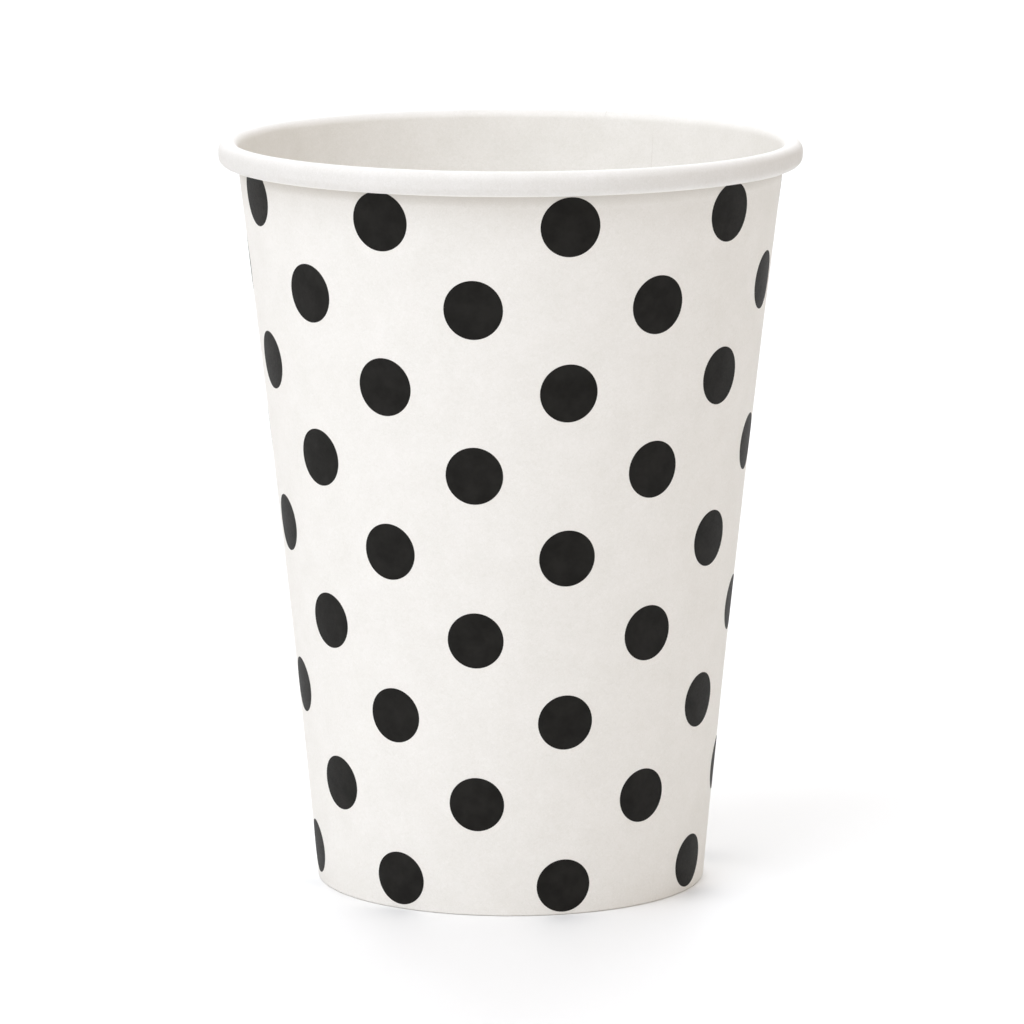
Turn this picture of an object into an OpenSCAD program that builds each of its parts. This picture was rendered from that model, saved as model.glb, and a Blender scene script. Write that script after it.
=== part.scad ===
// Paper drinking cup: a side wall rolled from one printed blank, with an outward
// curled rim, and a base disc clamped in a hem at the foot. The wall's outer face
// carries staggered columns of polka dots.
// The origin is the middle of the foot, +Z is up and the front faces -Y. Azimuths
// are turned from the front towards +X. Lengths are millimetres, angles degrees.

/* [Cup] */
// Outside diameter over the rolled rim
rim_d = 76; // [66:0.5:90]
// Height from the foot to the top of the rolled rim
cup_h = 97.6; // [80:0.1:130]
// Outside diameter of the side wall at the foot
foot_d = 51; // [44:0.5:60]
// Thickness of the side wall's paperboard
board_t = 0.3; // [0.2:0.02:0.4]

/* [Rolled rim] */
// Width of the roll, from the wall's inner face to the roll's outer side
curl_w = 2.6; // [2.2:0.1:3.4]
// Length of the upright stretch on the roll's outer side
curl_drop = 0.72; // [0.2:0.02:1.4]
// Gap between the turns of the roll
curl_gap = 0.05; // [0.03:0.01:0.1]
// Turn of the board's tucked end inside the roll, past one full turn
curl_tuck = 75; // [20:5:120]

/* [Foot and base] */
// Height of the base disc's upper face above the foot
base_h = 8.5; // [6:0.1:14]
// Thickness of the base disc's paperboard
base_t = 0.3; // [0.2:0.02:0.4]
// Outside radius of the bend between the base disc and its skirt
base_bend_r = 0.9; // [0.5:0.05:1.5]
// Room between the hem's cut edge and the underside of the base disc
hem_room = 1.2; // [0.8:0.1:3]
// Inside radius of the two bends of the fold at the foot
fold_r = 0.05; // [0.02:0.01:0.1]
// Gap between the skirt and the board folded round it
fold_gap = 0.04; // [0.02:0.01:0.1]

/* [Side seam] */
// Azimuth of the board's inner cut edge, the one seen inside the cup
seam_angle = 147; // [100:1:250]
// Angle over which the board's two ends overlap
lap_angle = 12; // [8:1:20]
// Width of the ramp where the outer end climbs onto the inner end
ramp_w = 3; // [2:0.25:3.5]

/* [Polka dots] */
// Diameter of the dots at the foot
dot_d_foot = 7.05; // [3:0.05:8]
// Diameter of the dots at the rim
dot_d_rim = 7.75; // [3:0.05:9]
// Height between the dots of one column at the foot
pitch_foot = 21.9; // [14:0.1:30]
// Height between the dots of one column at the rim
pitch_rim = 21.2; // [14:0.1:30]
// Height of the middle of the lowest dot in the middle column
first_row = 3.95; // [3.9:0.05:12]
// Rise of the lowest row from the middle column to the opposite side of the cup
row_bow_foot = 3; // [0:0.1:8]
// Rise of a row at the rim from the middle column to the opposite side of the cup
row_bow_rim = 6.7; // [0:0.1:10]
// Turn between neighbouring columns at the foot
step_foot = 23.5; // [20:0.1:36]
// Turn between neighbouring columns at the rim
step_rim = 19.9; // [18:0.1:30]
// Azimuth of the middle column at the foot
middle_foot = 15.4; // [-30:0.1:30]
// Azimuth of the middle column at the rim
middle_rim = 12.2; // [-30:0.1:30]
// Turn by which columns at the foot crowd towards the sides of the cup, at its most
side_turn = 2.1; // [0:0.1:4]
// Thickness of the ink
ink_t = 0.06; // [0.05:0.01:0.1]

/* [Hidden] */
$fn = 180;

paper_white = "#f3f1ed";
ink_black = "#2c2a28";

// The roll's upper half is a bend about roll_c, and the wall's outer face runs from
// the foot's corner to a tangent on that bend's inner face.
foot_r = foot_d / 2;
curl_r = curl_w / 2;
roll_c = [rim_d / 2 - curl_r, cup_h - curl_r];
to_roll = roll_c - [foot_r, 0];
lean = atan2(to_roll.x, to_roll.y) - asin((curl_r - board_t) / norm(to_roll));
up_wall = [sin(lean), cos(lean)];
out_wall = [cos(lean), -sin(lean)];

// The roll's lower half comes back in until it lies one gap clear of the wall, and
// the tucked end then runs up inside the upper half.
low_r = curl_r - (board_t + curl_gap - curl_drop * sin(lean)) / (1 + cos(lean));
low_c = [roll_c.x + curl_r - low_r, roll_c.y - curl_drop];
tuck_r = curl_r - board_t - curl_gap;

// The fold at the foot has an outer and an inner bend with a flat between them, wide
// enough for the base disc's skirt.
fold_out_r = fold_r + board_t;
skirt_in = board_t + fold_gap;
hem_in = skirt_in + base_t + fold_gap + board_t;
fold_c = [wall_r(fold_out_r, -fold_out_r), fold_out_r];
hem_c = [wall_r(fold_out_r, fold_out_r - hem_in), fold_out_r];
hem_len = (base_h - base_t - hem_room - fold_out_r) / cos(lean);
base_c = [wall_r(base_h - base_bend_r, -skirt_in - base_bend_r), base_h - base_bend_r];
skirt_len = (base_c.y - board_t - fold_r - fold_gap) / cos(lean);

// The ramp's plane leaves the wall's face at ramp_start and stands one board's
// thickness proud of it at the seam, halfway up the wall.
mid_r = wall_r(cup_h / 2);
ramp_angle = ramp_w / mid_r * 180 / PI;
ramp_start = seam_angle - ramp_angle;
ramp_rise = atan(board_t / ramp_w - ramp_w / (2 * mid_r));
lap_edge = seam_angle + lap_angle;
reach = cup_h + rim_d;

// Straight runs of board reach this far into the bends that they join
join = 0.02;

// Ink stops this far short of the outer end's cut edge, on both sides of it, and a dot
// is left out where less than least_ink of its height would show below the roll.
edge_gap = 0.01;
least_ink = 0.3;

// Every second column stands half a pitch higher. The columns lean towards each other
// up the wall, and the rows bow upwards to the sides of the middle column.
last_column = ceil(360 / min(step_foot, step_rim));
rows_up = 2 * cup_h / (pitch_foot + pitch_rim);
last_row = ceil(rows_up);
print_foot = fold_out_r;
print_top = low_c.y - low_r / 3;
edge_band = asin(max(dot_d_foot, dot_d_rim) / foot_d) + 1;

dots = [
    for (column = [-last_column:last_column], row = [0:last_row])
        let (
            up = row + (column % 2 == 0 ? 0 : 0.5),
            z = first_row + up * (pitch_foot + (pitch_rim - pitch_foot) * up / rows_up / 2),
            turn = column * between(step_foot, step_rim, z),
            crowd = between(side_turn, 0, z) * sin(2 * turn),
            bow = between(row_bow_foot, row_bow_rim, z) * pow(turn / 180, 2),
            at = [between(middle_foot, middle_rim, z) + turn + crowd, z + bow],
            d = between(dot_d_foot, dot_d_rim, z)
        )
        if (at.y - d / 2 < print_top - least_ink && abs(at.x - lap_edge + 180) < 180 + edge_band)
            [at.x, at.y, d]
];

// Radius at height z of a line that lies off outside the wall's outer face
function wall_r(z, off = 0) = foot_r + z * tan(lean) + off / cos(lean);

// A value at height z that runs evenly from one at the foot to another at the rim
function between(at_foot, at_rim, z) = at_foot + (at_rim - at_foot) * z / cup_h;

// Turns a child drawn along +X to an azimuth
module azimuth(angle) {
    rotate([0, 0, angle - 90]) children();
}

// A bend in board of thickness t about c, of outside radius r, between two angles
module bend(c, r, t, from, to) {
    spokes = 3;
    translate(c)
        intersection() {
            difference() {
                circle(r);
                circle(r - t);
            }
            polygon([
                [0, 0],
                for (i = [0:spokes])
                    let (turn = from + (to - from) * i / spokes)
                    2 * r * [cos(turn), sin(turn)]
            ]);
        }
}

// A straight run of board of thickness t along the wall, its outer side starting at p
module run(p, len, t) {
    low = p - join * up_wall;
    high = p + (len + join) * up_wall;
    polygon([low, high, high - t * out_wall, low - t * out_wall]);
}

// A band beside the wall's outer face between two heights and two offsets
module band(z0, z1, in, out) {
    polygon([[wall_r(z0, in), z0], [wall_r(z0, out), z0], [wall_r(z1, out), z1], [wall_r(z1, in), z1]]);
}

// The wall's run, from the fold's outer bend to the roll
module wall_run() {
    start = fold_c + fold_out_r * out_wall;
    end = roll_c - (curl_r - board_t) * out_wall;
    run(start, norm(end - start), board_t);
}

// The board's spiral at the rim: over, down, back in and up inside itself
module curl() {
    bend(roll_c, curl_r, board_t, 0, 180 - lean);
    translate(low_c + [low_r - board_t, -join]) square([board_t, curl_drop + 2 * join]);
    bend(low_c, low_r, board_t, -180 - lean, 0);
    tuck_start = low_c - (low_r - board_t) * out_wall;
    tuck_end = roll_c - (tuck_r - board_t) * out_wall;
    run(tuck_start, norm(tuck_end - tuck_start), board_t);
    bend(roll_c, tuck_r, board_t, 180 - lean - curl_tuck, 180 - lean);
}

// The fold under the foot and the hem that stands up inside it
module hem() {
    bend(fold_c, fold_out_r, board_t, -90, -lean);
    translate([hem_c.x - join, 0]) square([fold_c.x - hem_c.x + 2 * join, board_t]);
    bend(hem_c, fold_out_r, board_t, -180 - lean, -90);
    run(hem_c - fold_r * out_wall, hem_len, board_t);
}

// The outer end of the board where it laps over the inner end, with the turn of its
// own round the fold's outer bend
module lap_profile() {
    start = fold_c + (fold_out_r + board_t) * out_wall;
    depth = 1.5 * board_t;
    run(start, (low_c.y - start.y) / cos(lean), depth);
    intersection() {
        bend(fold_c, fold_out_r + board_t, depth, -90, -lean);
        square([rim_d, cup_h]);
    }
}

// Everything on the inner side of the ramp's plane moved outwards by off
module under_ramp(off) {
    azimuth(ramp_start)
        translate([foot_r, 0, 0])
            rotate([0, lean, 0])
                rotate([0, 0, -ramp_rise])
                    translate([off - reach, -reach, -reach])
                        cube([reach, 2 * reach, 3 * reach]);
}

// A profile turned over the ramp and the lap, and cut back to the ramp's plane
module lap_sector(off) {
    intersection() {
        azimuth(ramp_start) rotate_extrude(angle = ramp_angle + lap_angle) children();
        under_ramp(off);
    }
}

// The wedge left inside the cup where the outer end leaves the inner end's cut edge
module seam_wedge() {
    intersection() {
        azimuth(ramp_start)
            rotate_extrude(angle = ramp_angle)
                band(base_h, roll_c.y, -2 * board_t, board_t / 2);
        under_ramp(-board_t);
    }
}

module side_wall() {
    color(paper_white)
        difference() {
            union() {
                rotate_extrude() {
                    wall_run();
                    curl();
                    hem();
                }
                lap_sector(0) lap_profile();
            }
            seam_wedge();
        }
}

module base_disc() {
    color(paper_white)
        rotate_extrude() {
            translate([0, base_h - base_t]) square([base_c.x + join, base_t]);
            bend(base_c, base_bend_r, base_t, -lean, 90);
            run(base_c + base_bend_r * out_wall - skirt_len * up_wall, skirt_len, base_t);
        }
}

// The solid inside the wall's printed face, grown outwards by off
module print_face(off) {
    rotate_extrude()
        polygon([
            [0, print_foot],
            [wall_r(print_foot, off), print_foot],
            [wall_r(print_top, off), print_top],
            [0, print_top]
        ]);
    lap_sector(off) band(print_foot, print_top, -board_t / 2, board_t + off);
}

// A peg square to the wall for every dot whose azimuth lies between two limits
module dot_pegs(from, to) {
    peg_len = 8 * board_t;
    for (dot = dots)
        if (dot.x > from && dot.x <= to)
            azimuth(dot.x)
                translate([wall_r(dot.y), 0, dot.y])
                    rotate([0, 90 + lean, 0])
                        cylinder(d = dot[2], h = peg_len, center = true);
}

// The half space on one side of the outer end's cut edge: -1 before it, 1 past it
module beside_edge(side) {
    azimuth(lap_edge)
        translate([0, side * edge_gap + (side - 1) / 2 * reach, 0])
            cube([reach, reach, reach]);
}

module printed_dots() {
    color(ink_black)
        intersection() {
            union() {
                dot_pegs(lap_edge - 360 + edge_band, lap_edge - edge_band);
                intersection() {
                    dot_pegs(lap_edge - edge_band, lap_edge + edge_band);
                    beside_edge(-1);
                }
                intersection() {
                    dot_pegs(lap_edge - 360 - edge_band, lap_edge - 360 + edge_band);
                    beside_edge(1);
                }
            }
            difference() {
                print_face(ink_t);
                print_face(0);
            }
        }
}

side_wall();
base_disc();
printed_dots();
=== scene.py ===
import math

import bmesh
import bpy
from mathutils import Matrix, Vector, noise


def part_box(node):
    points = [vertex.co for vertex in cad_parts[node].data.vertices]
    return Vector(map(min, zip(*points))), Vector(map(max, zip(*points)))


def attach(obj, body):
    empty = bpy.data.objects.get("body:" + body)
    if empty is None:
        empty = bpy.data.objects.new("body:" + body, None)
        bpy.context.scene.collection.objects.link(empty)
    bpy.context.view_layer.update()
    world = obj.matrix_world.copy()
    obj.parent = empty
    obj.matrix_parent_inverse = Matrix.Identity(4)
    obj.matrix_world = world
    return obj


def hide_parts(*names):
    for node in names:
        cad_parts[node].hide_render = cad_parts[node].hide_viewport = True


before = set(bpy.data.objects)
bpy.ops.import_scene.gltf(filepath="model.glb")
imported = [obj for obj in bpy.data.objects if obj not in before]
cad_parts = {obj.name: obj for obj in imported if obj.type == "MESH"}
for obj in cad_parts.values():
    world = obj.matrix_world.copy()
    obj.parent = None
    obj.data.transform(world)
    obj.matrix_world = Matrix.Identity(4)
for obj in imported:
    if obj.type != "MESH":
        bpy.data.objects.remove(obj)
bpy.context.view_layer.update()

# Side wall
# One fan-shaped blank of bleached paperboard, rolled into a cone and sealed where its
# ends lap. The top edge is curled outwards into the rim, and the foot is folded in and
# up as a hem, which clamps the base disc.
mm = 0.001
wall_box_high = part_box("side_wall")[1]
rim_r = wall_box_high.x
cup_h = wall_box_high.z
foot_r = 25.5 * mm
board = 0.3 * mm
curl_r = 1.3 * mm
curl_drop = 0.72 * mm
curl_gap = 0.05 * mm
curl_tuck = math.radians(75)
fold_r = 0.05 * mm
hem_in = 0.98 * mm
hem_h = 7.0 * mm
waist = 0.39 * mm
waist_h = 96 * mm
uneven = 0.06 * mm
uneven_size = 14 * mm
seam_turn = 147
lap_turn = 12
ramp_turn = 5.6
edge_turn = 0.02
inner_step = 0.03 * mm
inner_reach = 1.2 * board
flutes = 90
flute_depth = 0.05 * mm
wall_rings = 24
bend_step = math.radians(12)
turn_steps = 360

# The wall's outer face runs from the foot's corner to a tangent on the roll's inside.
roll_x = rim_r - curl_r
roll_z = cup_h - curl_r
to_roll = Vector((roll_x - foot_r, roll_z))
lean = math.atan2(to_roll.x, to_roll.y) - math.asin((curl_r - board) / to_roll.length)
low_r = curl_r - (board + curl_gap - curl_drop * math.sin(lean)) / (1 + math.cos(lean))
low_x = rim_r - low_r
low_z = roll_z - curl_drop
fold_out_r = fold_r + board


def wall_r(z, off=0.0):
    """Radius at height z of a line that lies off outside the wall's outer face."""
    return foot_r + z * math.tan(lean) + off / math.cos(lean)


def settled(r, turn, z):
    """Radius r once the wall has settled: drawn in a little at its waist, and never
    quite even. turn is the azimuth in degrees from the front towards +X."""
    up = min(max(z / waist_h, 0.0), 1.0)
    way = math.radians(turn)
    spot = Vector((math.sin(way) * foot_r, math.cos(way) * foot_r, z)) / uneven_size
    drawn = 4 * waist * up * (1 - up) + uneven * (0.5 + 0.5 * noise.noise(spot))
    return r - drawn * r / wall_r(z)


def climb(turn):
    """Share of the way up onto the inner end of the board that the lapping end has
    climbed at an azimuth."""
    up = min(max((turn - seam_turn + ramp_turn) / ramp_turn, 0.0), 1.0)
    return up * up * (3 - 2 * up)


def straight(bm, tip, end, steps):
    """Draws a straight stretch of an outline from the vertex tip to the point end."""
    by = (end - tip.co) / steps
    for _ in range(steps):
        tip = bmesh.ops.extrude_vert_indiv(bm, verts=[tip])["verts"][0]
        bmesh.ops.translate(bm, verts=[tip], vec=by)
    return tip


def bend(bm, tip, centre, turn):
    """Draws a bend of an outline from the vertex tip about centre, clockwise if turn
    is negative."""
    steps = math.ceil(abs(turn) / bend_step)
    spun = bmesh.ops.spin(bm, geom=[tip], cent=centre, axis=(0, -1, 0), angle=turn, steps=steps)
    return next(part for part in spun["geom_last"] if isinstance(part, bmesh.types.BMVert))


def outline_point(x, z, r=0.0, angle=0.0):
    """The point of an outline at a distance and angle from x, z."""
    return Vector((x + r * math.cos(angle), 0, z + r * math.sin(angle)))


def board_face(bm, depth):
    """Draws one face of the board from the hem's cut edge to the tucked edge: the
    printed face at depth 0 and the inner one at depth board. Returns its two ends."""
    straight_in = math.pi - lean
    fold_z = fold_out_r
    fold_x = wall_r(fold_z, -fold_out_r)
    hem_x = wall_r(fold_z, fold_out_r - hem_in)
    out = curl_r - board
    # Each bend's centre, radius, first angle, turn, and steps in the run before it
    bends = (
        (hem_x, fold_z, fold_out_r - depth, straight_in, lean + math.pi / 2, 3),
        (fold_x, fold_z, fold_out_r - depth, -math.pi / 2, math.pi / 2 - lean, 1),
        (roll_x, roll_z, out + depth, straight_in, -straight_in, wall_rings),
        (low_x, low_z, low_r - board + depth, 0, -math.pi - lean, 1),
        (roll_x, roll_z, out - board - curl_gap + depth, straight_in, -curl_tuck, 1),
    )
    up_hem = Vector((math.sin(lean), 0, math.cos(lean))) * (hem_h / math.cos(lean))
    start = outline_point(hem_x, fold_z, fold_out_r - depth, straight_in) + up_hem
    first = tip = bm.verts.new(start)
    for x, z, r, angle, turn, steps in bends:
        tip = straight(bm, tip, outline_point(x, z, r, angle), steps)
        tip = bend(bm, tip, outline_point(x, z), turn)
    return first, tip


def lap_share(r, z):
    """How far a spot of the section moves out where the board lies double: not at all
    on the inner face, fully on the outer one, and more and more across the roll."""
    inside = wall_r(z, -board / 2)
    if z < fold_out_r:
        inside = wall_r(fold_out_r, -fold_out_r)
        return min(max((r - inside) / fold_out_r, 0.0), 1.0)
    if r < inside and z < roll_z:
        return 0.0
    over = min(max((z - low_z) / (roll_z - low_z), 0.0), 1.0)
    across = min(max((r - wall_r(z, -board)) / (2 * curl_r), 0.0), 1.0)
    return 1 + (across - 1) * over


def on_hem(r, z):
    """Whether a spot of the section is on the face of the hem seen from below."""
    return fold_out_r < z < hem_h and r < wall_r(z, -hem_in + board / 2)


def finish_piece(bm, name, crease=math.radians(35)):
    """Turns a bmesh into a piece with clean, outward faces and its sharp edges kept."""
    bmesh.ops.remove_doubles(bm, verts=bm.verts, dist=0.0005 * mm)
    bmesh.ops.recalc_face_normals(bm, faces=bm.faces)
    mesh = bpy.data.meshes.new(name)
    bm.to_mesh(mesh)
    bm.free()
    mesh.shade_smooth()
    mesh.set_sharp_from_angle(angle=crease)
    piece = bpy.data.objects.new(name, mesh)
    bpy.context.scene.collection.objects.link(piece)
    return piece


bm = bmesh.new()
printed_ends = board_face(bm, 0.0)
inner_ends = board_face(bm, board)
for printed_end, inner_end in zip(printed_ends, inner_ends):
    bm.edges.new((printed_end, inner_end))
outline = bm.verts[:] + bm.edges[:]
full_turn = {"cent": (0, 0, 0), "axis": (0, 0, 1), "angle": math.tau, "use_merge": True}
bmesh.ops.spin(bm, geom=outline, steps=turn_steps, **full_turn)
ring_turn = 360 / turn_steps
near_cut = 1.5 * ring_turn
lap_edge = seam_turn + lap_turn
for v in bm.verts:
    r = math.hypot(v.co.x, v.co.y)
    z = v.co.z
    turn = round(math.degrees(math.atan2(v.co.x, -v.co.y)) / ring_turn) * ring_turn
    # The ring before each cut edge is drawn up to it, so that the edge is square.
    past_lap = turn >= lap_edge or turn < seam_turn - ramp_turn
    past_seam = turn >= seam_turn or turn < seam_turn - ramp_turn
    for cut in (seam_turn, lap_edge):
        if cut - near_cut < turn < cut:
            turn = cut - edge_turn
    if on_hem(r, z):
        r -= flute_depth * (0.5 + 0.5 * math.cos(math.radians(flutes * turn)))
    elif not past_lap and lap_share(r, z) > 0:
        r += board * climb(turn) * lap_share(r, z)
    elif not past_seam and r > wall_r(z, -inner_reach) and z > hem_h:
        r += inner_step * climb(turn)
    r = settled(r, turn, z)
    v.co.x = r * math.sin(math.radians(turn))
    v.co.y = -r * math.cos(math.radians(turn))
side_wall = finish_piece(bm, "rolled_wall")


def linear(hex_colour):
    """An sRGB hex colour as linear red, green, blue and alpha."""
    shares = [int(hex_colour[i:i + 2], 16) / 255 for i in (1, 3, 5)]
    return [s / 12.92 if s <= 0.04045 else ((s + 0.055) / 1.055) ** 2.4 for s in shares] + [1.0]


def add_node(tree, kind, values=(), links=(), **settings):
    """Adds a node with its settings, its sockets' values and the links into them."""
    node = tree.nodes.new(kind)
    for name, value in settings.items():
        setattr(node, name, value)
    for socket, value in dict(values).items():
        node.inputs[socket].default_value = value
    for socket, source in dict(links).items():
        tree.links.new(source, node.inputs[socket])
    return node


def new_material(name):
    """An empty node material, and its Object coordinates."""
    material = bpy.data.materials.new(name)
    material.use_nodes = True
    material.node_tree.nodes.clear()
    coords = add_node(material.node_tree, "ShaderNodeTexCoord")
    return material, coords.outputs["Object"]


# Bleached cup board, clay coated and calendered: a warm matt white. Slow clouds of
# pulp tint it, and short fibres show as a fine grain that also roughens it. Fibres are
# about 0.03 mm wide, and are drawn 0.35 mm wide so that they show. Painted shade
# darkens its colour in tight corners, as where the roll lies against the wall, and a
# further painted shade darkens it a little over the roll.
paper_light = "#fcfaf7"
paper_dark = "#f0eee9"
# Painted shade: the grey that the board's colour is darkened to in its tightest corners.
paper_painted_shade = "#d3cec6"
# Painted shade: a grey tint that darkens the board's colour over the roll.
roll_painted_shade = "#f4f4f5"
painted_shade_reach = 2.0 * mm
roll_blend = 0.3 * mm
cloud_size = 4.5 * mm
fibre_size = 0.35 * mm
fibre_share = 0.66
fibre_relief = 0.02 * mm
paper, coords = new_material("bleached_cup_board")
tree = paper.node_tree
clouds = add_node(
    tree,
    "ShaderNodeTexNoise",
    {"Scale": 1 / cloud_size, "Detail": 3, "Roughness": 0.55},
    {"Vector": coords},
)
fibres = add_node(
    tree,
    "ShaderNodeTexNoise",
    {"Scale": 1 / fibre_size, "Detail": 2.5, "Roughness": 0.6, "Distortion": 1.4},
    {"Vector": coords},
)
grain = add_node(
    tree,
    "ShaderNodeMix",
    {"Factor": fibre_share},
    {"A": clouds.outputs["Fac"], "B": fibres.outputs["Fac"]},
    data_type="FLOAT",
)
tint = add_node(
    tree,
    "ShaderNodeMapRange",
    {"From Min": 0.3, "From Max": 0.7},
    {"Value": grain.outputs["Result"]},
)
colour = add_node(
    tree,
    "ShaderNodeMix",
    {"A": linear(paper_dark), "B": linear(paper_light)},
    {"Factor": tint.outputs["Result"]},
    data_type="RGBA",
)
# Painted shade: the more the board is hemmed in within a couple of millimetres, as under the roll, the
# darker its colour is painted.
corners = add_node(
    tree, "ShaderNodeAmbientOcclusion", {"Distance": painted_shade_reach}, samples=6, only_local=True
)
open_share = add_node(
    tree,
    "ShaderNodeMapRange",
    {"From Min": 0.5, "From Max": 1.0},
    {"Value": corners.outputs["AO"]},
)
shaded = add_node(
    tree,
    "ShaderNodeMix",
    {"A": linear(paper_painted_shade)},
    {"Factor": open_share.outputs["Result"], "B": colour.outputs["Result"]},
    data_type="RGBA",
)
height = add_node(tree, "ShaderNodeSeparateXYZ", {}, {"Vector": coords})
flat = add_node(tree, "ShaderNodeVectorMath", {1: (1, 1, 0)}, {0: coords}, operation="MULTIPLY")
reach = add_node(
    tree, "ShaderNodeVectorMath", {}, {0: flat.outputs["Vector"]}, operation="LENGTH"
)
# Painted shade: the board's colour is darkened over the roll, above where it leaves the wall.
over_roll = add_node(
    tree,
    "ShaderNodeMapRange",
    {"From Min": rim_r - 2 * curl_r, "From Max": rim_r - 2 * curl_r + 2 * roll_blend},
    {"Value": reach.outputs["Value"]},
)
above_wall = add_node(
    tree,
    "ShaderNodeMapRange",
    {"From Min": low_z - low_r, "From Max": low_z - low_r + roll_blend},
    {"Value": height.outputs["Z"]},
)
on_roll = add_node(
    tree,
    "ShaderNodeMath",
    {},
    {0: over_roll.outputs["Result"], 1: above_wall.outputs["Result"]},
    operation="MULTIPLY",
)
roll_shaded = add_node(
    tree,
    "ShaderNodeMix",
    {"B": linear(roll_painted_shade)},
    {"Factor": on_roll.outputs["Value"], "A": shaded.outputs["Result"]},
    data_type="RGBA",
    blend_type="MULTIPLY",
)
matt = add_node(
    tree,
    "ShaderNodeMapRange",
    {"From Min": 0.3, "From Max": 0.7, "To Min": 0.58, "To Max": 0.7},
    {"Value": fibres.outputs["Fac"]},
)
relief = add_node(
    tree,
    "ShaderNodeBump",
    {"Strength": 0.35, "Distance": fibre_relief},
    {"Height": fibres.outputs["Fac"]},
)
shader = add_node(
    tree,
    "ShaderNodeBsdfPrincipled",
    {"IOR": 1.45, "Specular IOR Level": 0.3},
    {
        "Base Color": roll_shaded.outputs["Result"],
        "Roughness": matt.outputs["Result"],
        "Normal": relief.outputs["Normal"],
    },
)
add_node(tree, "ShaderNodeOutputMaterial", {}, {"Surface": shader.outputs["BSDF"]})
side_wall.data.materials.append(paper)
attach(side_wall, "root")
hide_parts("side_wall")

# Base disc
# A disc of the same board, pressed so that its edge turns down into a skirt. The
# skirt is heat-sealed between the wall and the hem, so the disc stands clear of the
# table.
base_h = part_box("base_disc")[1].z
base_bend_r = 0.9 * mm
base_rings = 12
base_wave = 0.12 * mm
base_wave_size = 16 * mm
wave_fade = 4 * mm
skirt_gap = 0.04 * mm
skirt_off = board + skirt_gap
skirt_z = board + fold_r + skirt_gap
bend_x = wall_r(base_h - base_bend_r, -skirt_off - base_bend_r)
bend_z = base_h - base_bend_r


def base_face(bm, depth):
    """Draws one face of the base from its middle to the skirt's cut edge: the upper
    face at depth 0 and the lower one at depth board. Returns its two ends."""
    first = bm.verts.new(Vector((0, 0, base_h - depth)))
    tip = straight(bm, first, outline_point(bend_x, base_h - depth), base_rings)
    tip = bend(bm, tip, outline_point(bend_x, bend_z), -math.pi / 2 - lean)
    foot = outline_point(wall_r(skirt_z, -skirt_off - depth), skirt_z)
    return first, straight(bm, tip, foot, 3)


bm = bmesh.new()
upper_ends = base_face(bm, 0.0)
lower_ends = base_face(bm, board)
bm.edges.new((upper_ends[1], lower_ends[1]))
outline = bm.verts[:] + bm.edges[:]
bmesh.ops.spin(bm, geom=outline, steps=turn_steps // 2, **full_turn)
for v in bm.verts:
    r = math.hypot(v.co.x, v.co.y)
    turn = math.degrees(math.atan2(v.co.x, -v.co.y))
    calm = min(max((bend_x - r) / wave_fade, 0.0), 1.0)
    wave = noise.noise(Vector((v.co.x, v.co.y, 0)) / base_wave_size) - 1
    ring = settled(r, turn, v.co.z)
    v.co.x = ring * math.sin(math.radians(turn))
    v.co.y = -ring * math.cos(math.radians(turn))
    v.co.z += base_wave * wave * calm
base = finish_piece(bm, "pressed_base")
base.data.materials.append(paper)
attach(base, "root")
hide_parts("base_disc")

# Printed dots
# Black ink laid on the flat blank before it is rolled, in columns that lean towards
# each other up the wall and rows that bow up round the cup. The lapping end's cut edge
# trims the dots that cross it, and the roll hides the tops of others.
dot_d = (7.05 * mm, 7.75 * mm)
column_step = (23.5, 19.9)
middle_column = (15.4, 12.2)
side_turn = (2.1, 0.0)
dot_pitch = (21.9 * mm, 21.2 * mm)
first_row = 3.95 * mm
row_bow = (3.0 * mm, 6.7 * mm)
least_ink = 0.3 * mm
ink_proud = 0.02 * mm
ink_deep = 0.03 * mm
dot_sides = 48
dot_rings = 3
print_top = low_z - low_r / 3
apex_s = foot_r / math.sin(lean)


def at_height(foot_and_rim, z):
    """A value at height z that runs evenly from one at the foot to one at the rim."""
    return foot_and_rim[0] + (foot_and_rim[1] - foot_and_rim[0]) * z / cup_h


def on_blank(turn, z):
    """The place on the flat blank, measured from its fan's apex, of a spot on the wall,
    turned so that +Y runs up the wall there."""
    fan_turn = math.radians(turn) * math.sin(lean)
    up = Matrix.Translation((0, apex_s + z / math.cos(lean), 0))
    return Matrix.Rotation(-fan_turn, 4, "Z") @ up


def trim(bm, parts, place, normal):
    """Cuts away what lies beyond a plane, given in the axes of a place on the blank."""
    bmesh.ops.bisect_plane(
        bm,
        geom=parts,
        dist=0.001 * mm,
        plane_co=place.translation,
        plane_no=place.to_3x3() @ Vector(normal),
        clear_outer=True,
    )


def print_dot(bm, turn, z, d):
    """Lays one dot on the flat blank, with rings inside it so that it can bend."""
    place = on_blank(turn, z)
    known = set(bm.faces)
    bmesh.ops.create_circle(bm, cap_ends=True, segments=dot_sides, radius=d / 2, matrix=place)
    middle = next(face for face in bm.faces if face not in known)
    for _ in range(dot_rings):
        bmesh.ops.inset_individual(bm, faces=[middle], thickness=d / 2 / (dot_rings + 1))
    bmesh.ops.poke(bm, faces=[middle])
    faces = [face for face in bm.faces if face not in known]
    if z + d / 2 > print_top:
        parts = {*faces, *(e for f in faces for e in f.edges), *(v for f in faces for v in f.verts)}
        trim(bm, list(parts), on_blank(turn, print_top), (0, 1, 0))


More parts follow.
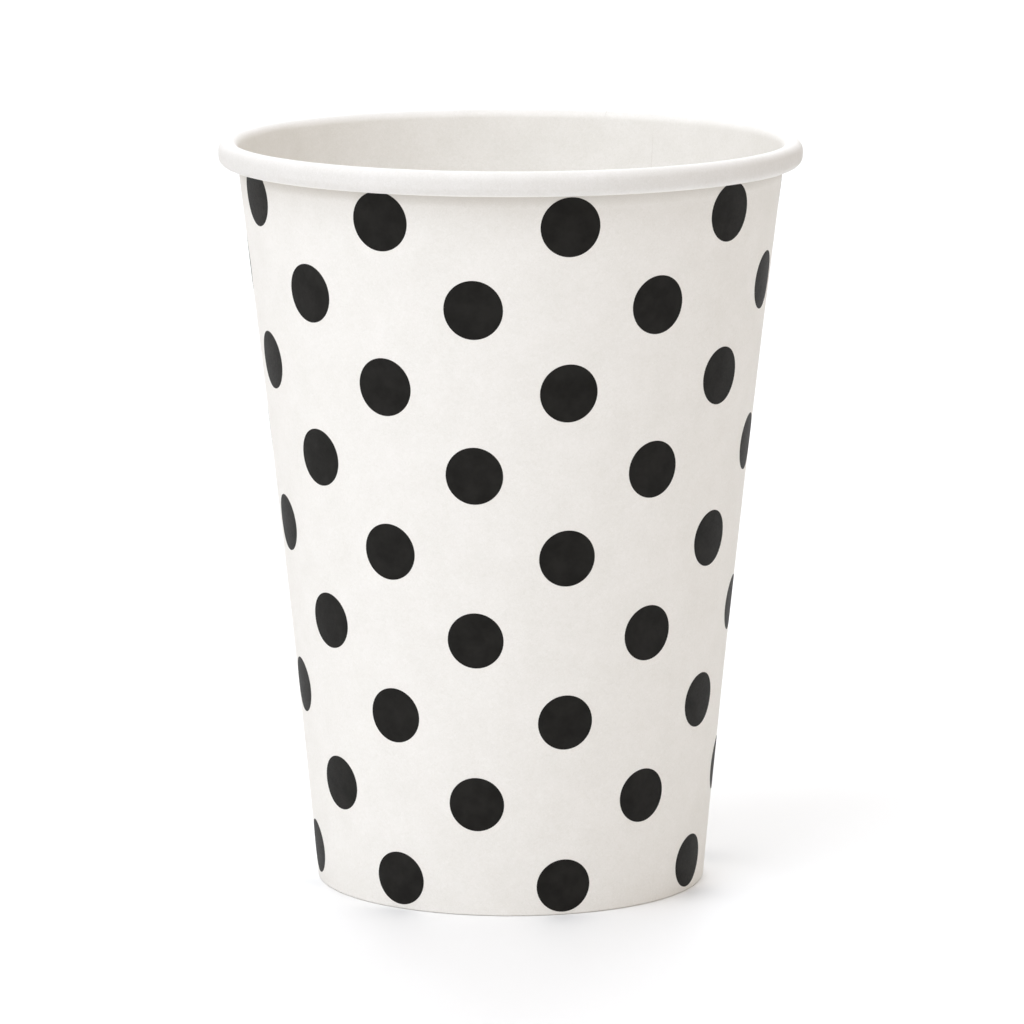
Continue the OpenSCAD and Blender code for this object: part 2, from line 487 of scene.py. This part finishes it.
bm = bmesh.new()
last_column = math.ceil(360 / min(column_step))
rows_up = 2 * cup_h / sum(dot_pitch)
for column in range(-last_column, last_column + 1):
    for row in range(math.ceil(rows_up) + 1):
        up = row + column % 2 / 2
        z = first_row + up * (dot_pitch[0] + (dot_pitch[1] - dot_pitch[0]) * up / rows_up / 2)
        d = at_height(dot_d, z)
        from_middle = column * at_height(column_step, z)
        crowd = at_height(side_turn, z) * math.sin(2 * math.radians(from_middle))
        turn = at_height(middle_column, z) + from_middle + crowd
        z += at_height(row_bow, z) * (from_middle / 180) ** 2
        reach = math.degrees(d / 2 / foot_r)
        if z - d / 2 < print_top - least_ink and lap_edge - 360 - reach < turn < lap_edge + reach:
            print_dot(bm, turn, z, d)
for edge, side in ((lap_edge, 1), (lap_edge - 360, -1)):
    trim(bm, bm.verts[:] + bm.edges[:] + bm.faces[:], on_blank(edge, 0), (side, 0, 0))
deep = bmesh.ops.extrude_face_region(bm, geom=bm.faces[:])
bmesh.ops.translate(
    bm,
    verts=[part for part in deep["geom"] if isinstance(part, bmesh.types.BMVert)],
    vec=(0, 0, -ink_proud - ink_deep),
)
for v in bm.verts:
    s = math.hypot(v.co.x, v.co.y)
    turn = math.degrees(math.atan2(v.co.x, v.co.y) / math.sin(lean))
    z = (s - apex_s) * math.cos(lean)
    lift = board * climb(turn) + v.co.z + ink_proud
    r = settled(wall_r(z) + lift, turn, z)
    v.co = (r * math.sin(math.radians(turn)), -r * math.cos(math.radians(turn)), z)
dots = finish_piece(bm, "ink_dots")

# Water-based black printing ink, dried matt into the board: a warm near-black that
# takes a faint cloudiness from the pulp below it, and a soft sheen only at a glance.
ink_light = "#22211f"
ink_dark = "#181715"
ink_cloud_size = 2.5 * mm
ink, coords = new_material("matt_black_ink")
tree = ink.node_tree
clouds = add_node(
    tree,
    "ShaderNodeTexNoise",
    {"Scale": 1 / ink_cloud_size, "Detail": 3, "Roughness": 0.6},
    {"Vector": coords},
)
grain = add_node(
    tree,
    "ShaderNodeTexNoise",
    {"Scale": 1 / fibre_size, "Detail": 2.5, "Roughness": 0.6, "Distortion": 1.4},
    {"Vector": coords},
)
patches = add_node(
    tree, "ShaderNodeMapRange", {"From Min": 0.35, "From Max": 0.65}, {"Value": clouds.outputs["Fac"]}
)
colour = add_node(
    tree,
    "ShaderNodeMix",
    {"A": linear(ink_dark), "B": linear(ink_light)},
    {"Factor": patches.outputs["Result"]},
    data_type="RGBA",
)
matt = add_node(
    tree,
    "ShaderNodeMapRange",
    {"From Min": 0.3, "From Max": 0.7, "To Min": 0.5, "To Max": 0.62},
    {"Value": grain.outputs["Fac"]},
)
relief = add_node(
    tree,
    "ShaderNodeBump",
    {"Strength": 0.5, "Distance": fibre_relief},
    {"Height": grain.outputs["Fac"]},
)
shader = add_node(
    tree,
    "ShaderNodeBsdfPrincipled",
    {"IOR": 1.45, "Specular IOR Level": 0.15},
    {
        "Base Color": colour.outputs["Result"],
        "Roughness": matt.outputs["Result"],
        "Normal": relief.outputs["Normal"],
    },
)
add_node(tree, "ShaderNodeOutputMaterial", {}, {"Surface": shader.outputs["BSDF"]})
dots.data.materials.append(ink)
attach(dots, "root")
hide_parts("printed_dots")

# Table and light
# A plain white satin table in a pale warm room. A softbox low behind the cup brightens
# the table, one hangs overhead, and a smaller one stands high on the left.
table_w = 12.0
table_white = "#f4f4f4"
table_rough = 0.6
bm = bmesh.new()
bmesh.ops.create_grid(bm, x_segments=1, y_segments=1, size=table_w / 2)
table = finish_piece(bm, "white_table")
white = new_material("satin_white_laminate")[0]
shader = add_node(
    white.node_tree,
    "ShaderNodeBsdfPrincipled",
    {"Base Color": linear(table_white), "Roughness": table_rough},
)
add_node(white.node_tree, "ShaderNodeOutputMaterial", {}, {"Surface": shader.outputs["BSDF"]})
table.data.materials.append(white)


def softbox(name, watts, tint, size, azimuth, elevation, distance):
    """A square area light that faces the middle of the cup."""
    way = Vector((
        math.sin(math.radians(azimuth)) * math.cos(math.radians(elevation)),
        -math.cos(math.radians(azimuth)) * math.cos(math.radians(elevation)),
        math.sin(math.radians(elevation)),
    ))
    light = bpy.data.lights.new(name, "AREA")
    light.energy = watts
    light.color = linear(tint)[:3]
    light.size = size
    lamp = bpy.data.objects.new(name, light)
    lamp.location = Vector((0, 0, cup_h / 2)) + way * distance
    lamp.rotation_mode = "QUATERNION"
    lamp.rotation_quaternion = (-way).to_track_quat("-Z", "Y")
    bpy.context.scene.collection.objects.link(lamp)


softbox("back_softbox", watts=46, tint="#eef6ff", size=2.4, azimuth=180, elevation=25, distance=3.0)
softbox("overhead_softbox", watts=37.5, tint="#f2f7ff", size=3.0, azimuth=0, elevation=85, distance=2.0)
softbox("left_softbox", watts=14.4, tint="#ebf4ff", size=1.4, azimuth=-46, elevation=48, distance=1.7)
room_white = "#ffedd6"
room_light = 0.37
world = bpy.data.worlds.new("pale_studio")
world.use_nodes = True
world.node_tree.nodes["Background"].inputs["Color"].default_value = linear(room_white)
world.node_tree.nodes["Background"].inputs["Strength"].default_value = room_light
bpy.context.scene.world = world
bpy.context.scene.view_settings.view_transform = "Standard"

# Camera
# A long lens a little above the cup, set level from side to side and tipped down, as
# the photograph was taken.
lens_mm = 218.1
sensor_mm = 36
camera_at = Vector((0.000184, -0.8025, 0.1874))
tip_down = 9.829
camera_data = bpy.data.cameras.new("camera")
camera_data.sensor_width = sensor_mm
camera_data.lens = lens_mm
camera = bpy.data.objects.new("camera", camera_data)
camera.location = camera_at
camera.rotation_euler = (math.radians(90 - tip_down), 0, 0)
bpy.context.scene.collection.objects.link(camera)
bpy.context.scene.camera = camera
